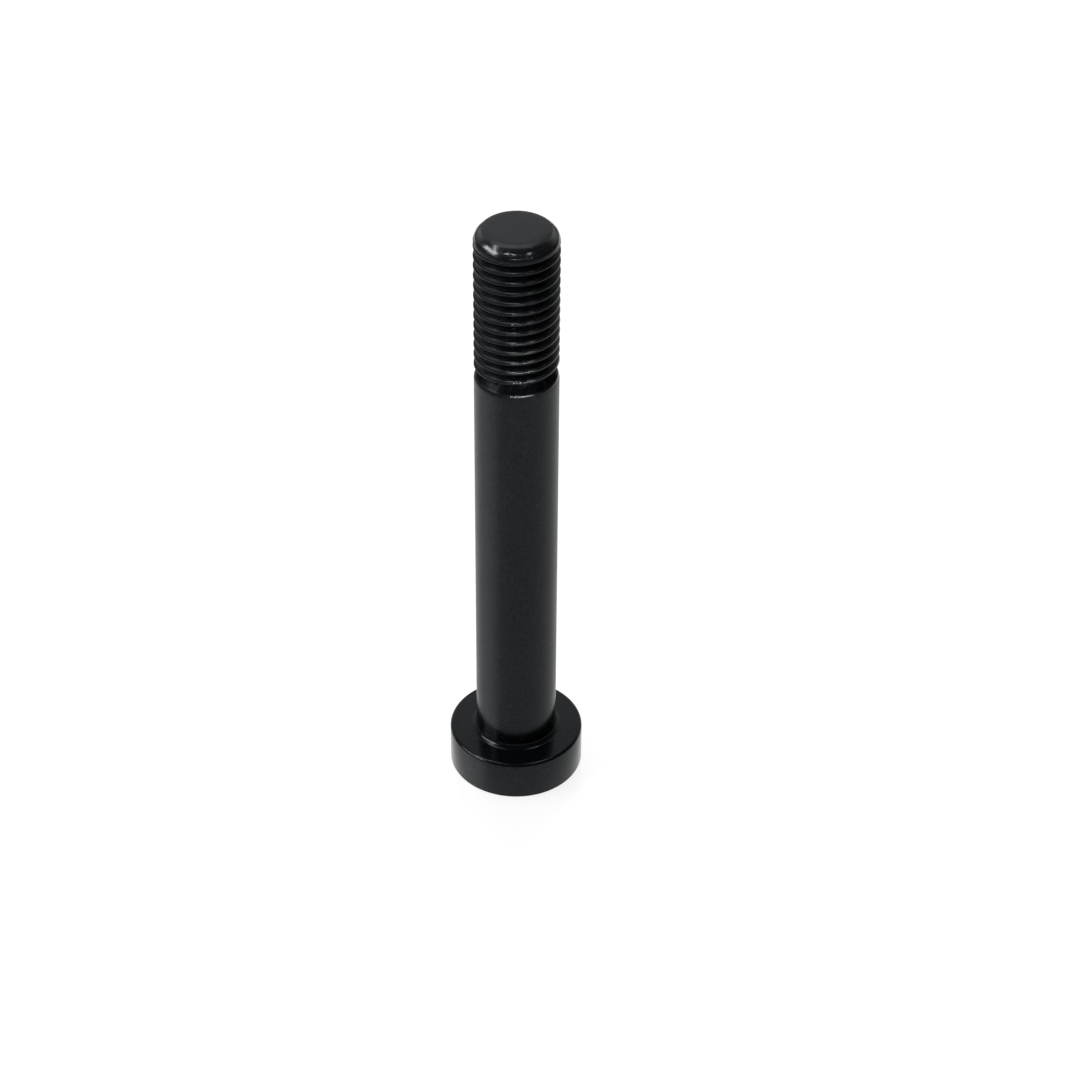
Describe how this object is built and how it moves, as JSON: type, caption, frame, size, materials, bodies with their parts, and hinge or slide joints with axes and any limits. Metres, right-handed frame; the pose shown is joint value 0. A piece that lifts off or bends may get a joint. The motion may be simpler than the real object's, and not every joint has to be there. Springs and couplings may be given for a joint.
{
  "type": "round-head bolt",
  "caption": "Black round-head bolt with a long plain shank, a coarse threaded end and a hex socket in the foot of its head, for pinning or clamping parts with a nut.",
  "frame": {"origin": "centre of the foot of the head, on the surface that the bolt stands on", "axes": "+Z along the bolt's axis from the head to the threaded tip, +X to the right in the picture's view, +Y away from its camera"},
  "size_m": [0.0318, 0.0318, 0.1502],
  "materials": {
    "black_steel": "black coated steel, satin on the shank and glossier on the thread and the head"
  },
  "bodies": {
    "root": {"bolt": "black_steel"}
  },
  "joints": []
}
